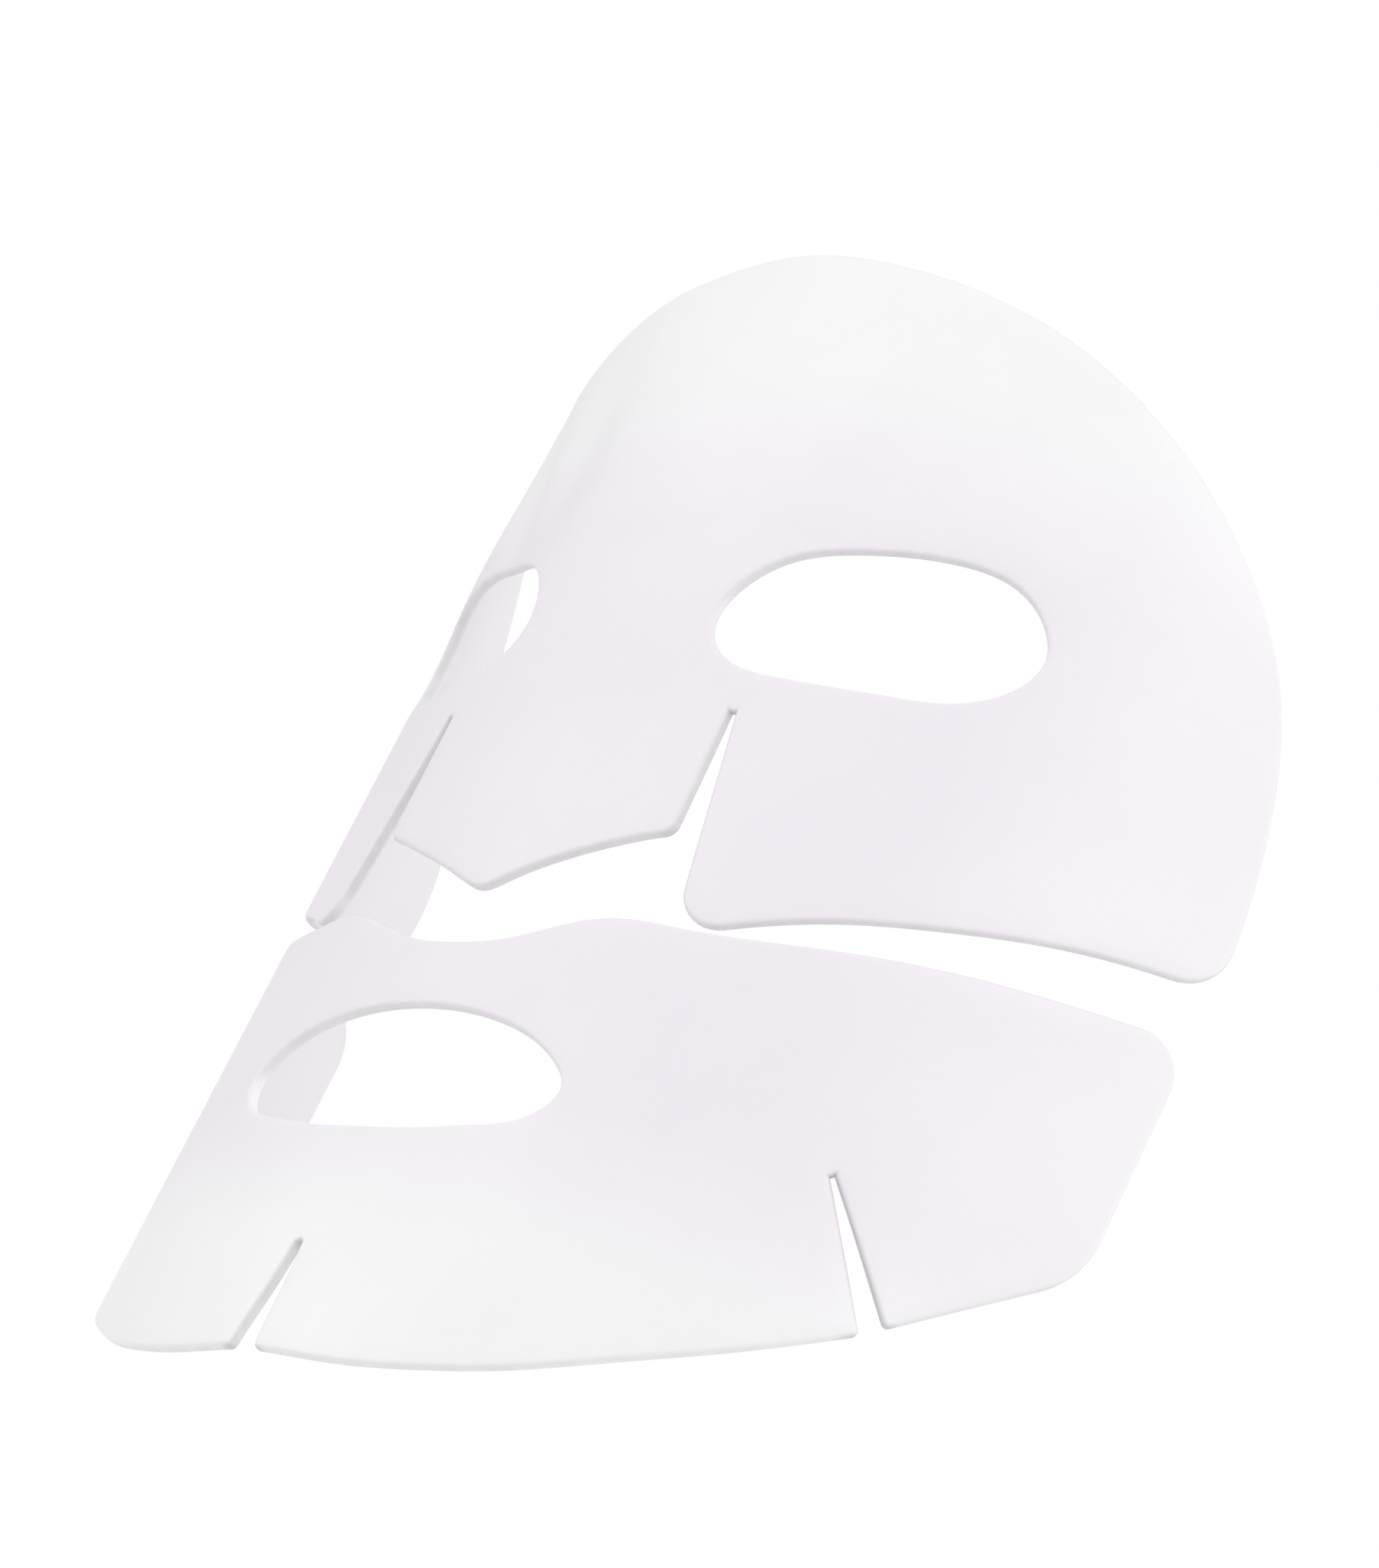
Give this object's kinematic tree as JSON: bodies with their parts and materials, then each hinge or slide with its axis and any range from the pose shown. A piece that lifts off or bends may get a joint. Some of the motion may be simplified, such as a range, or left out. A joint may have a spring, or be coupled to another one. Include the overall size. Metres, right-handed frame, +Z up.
{
  "type": "two-piece gel face mask",
  "caption": "Soft two-piece gel face mask: an upper sheet with eye openings and a nose flap, and a lower sheet with a mouth opening and slits at the chin and jaw.",
  "frame": {"origin": "on the skin side of the upper sheet, on the midline, 0.4 mm above the tips of the two nose slits", "axes": "+Z up the face, -Y out of the face, +Y into the face, +X towards the wearer's left"},
  "size_m": [0.1736, 0.0553, 0.1849],
  "materials": {
    "gel": "soft satin, wet gel, near-white with a slight lilac tint",
    "scrim": "fine woven mesh embedded in the gel",
    "skin_side_gel": "soft satin, wet gel, near-white with a slight lilac tint"
  },
  "bodies": {
    "forehead": {"forehead_outer_gel": "gel", "forehead_scrim": "scrim", "forehead_inner_gel": "skin_side_gel"},
    "nose_flap": {"nose_flap_outer_gel": "gel", "nose_flap_scrim": "scrim", "nose_flap_inner_gel": "skin_side_gel"},
    "left_cheek": {"left_cheek_outer_gel": "gel", "left_cheek_scrim": "scrim", "left_cheek_inner_gel": "skin_side_gel"},
    "right_cheek": {"right_cheek_outer_gel": "gel", "right_cheek_scrim": "scrim", "right_cheek_inner_gel": "skin_side_gel"},
    "mouth_panel": {"mouth_panel_outer_gel": "gel", "mouth_panel_scrim": "scrim", "mouth_panel_inner_gel": "skin_side_gel"},
    "left_jaw": {"left_jaw_outer_gel": "gel", "left_jaw_scrim": "scrim", "left_jaw_inner_gel": "skin_side_gel"},
    "right_jaw": {"right_jaw_outer_gel": "gel", "right_jaw_scrim": "scrim", "right_jaw_inner_gel": "skin_side_gel"},
    "left_chin_flap": {"left_chin_flap_outer_gel": "gel", "left_chin_flap_scrim": "scrim", "left_chin_flap_inner_gel": "skin_side_gel"},
    "right_chin_flap": {"right_chin_flap_outer_gel": "gel", "right_chin_flap_scrim": "scrim", "right_chin_flap_inner_gel": "skin_side_gel"}
  },
  "joints": [
    {"name": "left_cheek_bend", "type": "hinge", "parent": "forehead", "child": "left_cheek", "pos_m": [0.02884, 0.00216, 0], "axis": [0, 0, 1], "range_deg": [-35, 20]},
    {"name": "right_cheek_bend", "type": "hinge", "parent": "forehead", "child": "right_cheek", "pos_m": [-0.02884, 0.00216, 0], "axis": [0, 0, -1], "range_deg": [-35, 20]},
    {"name": "nose_flap_bend", "type": "hinge", "parent": "forehead", "child": "nose_flap", "pos_m": [0, -0.0018, -0.0007], "axis": [-1, 0, 0], "range_deg": [-5, 35]},
    {"name": "sheets_apart", "type": "slide", "parent": "forehead", "child": "mouth_panel", "axis": [0, 0, -1], "range_m": [0, 0.03]},
    {"name": "left_jaw_bend", "type": "hinge", "parent": "mouth_panel", "child": "left_jaw", "pos_m": [0.04241, 0.00734, -0.06], "axis": [0, 0, 1], "range_deg": [-35, 20]},
    {"name": "right_jaw_bend", "type": "hinge", "parent": "mouth_panel", "child": "right_jaw", "pos_m": [-0.04241, 0.00734, -0.06], "axis": [0, 0, -1], "range_deg": [-35, 20]},
    {"name": "left_chin_flap_fold", "type": "hinge", "parent": "mouth_panel", "child": "left_chin_flap", "pos_m": [0, -0.0009, -0.0893], "axis": [0.9623, 0.1869, -0.1974], "range_deg": [-5, 25]},
    {"name": "right_chin_flap_fold", "type": "hinge", "parent": "mouth_panel", "child": "right_chin_flap", "pos_m": [0, -0.0009, -0.0893], "axis": [0.9623, -0.1869, 0.1974], "range_deg": [-5, 25]}
  ]
}
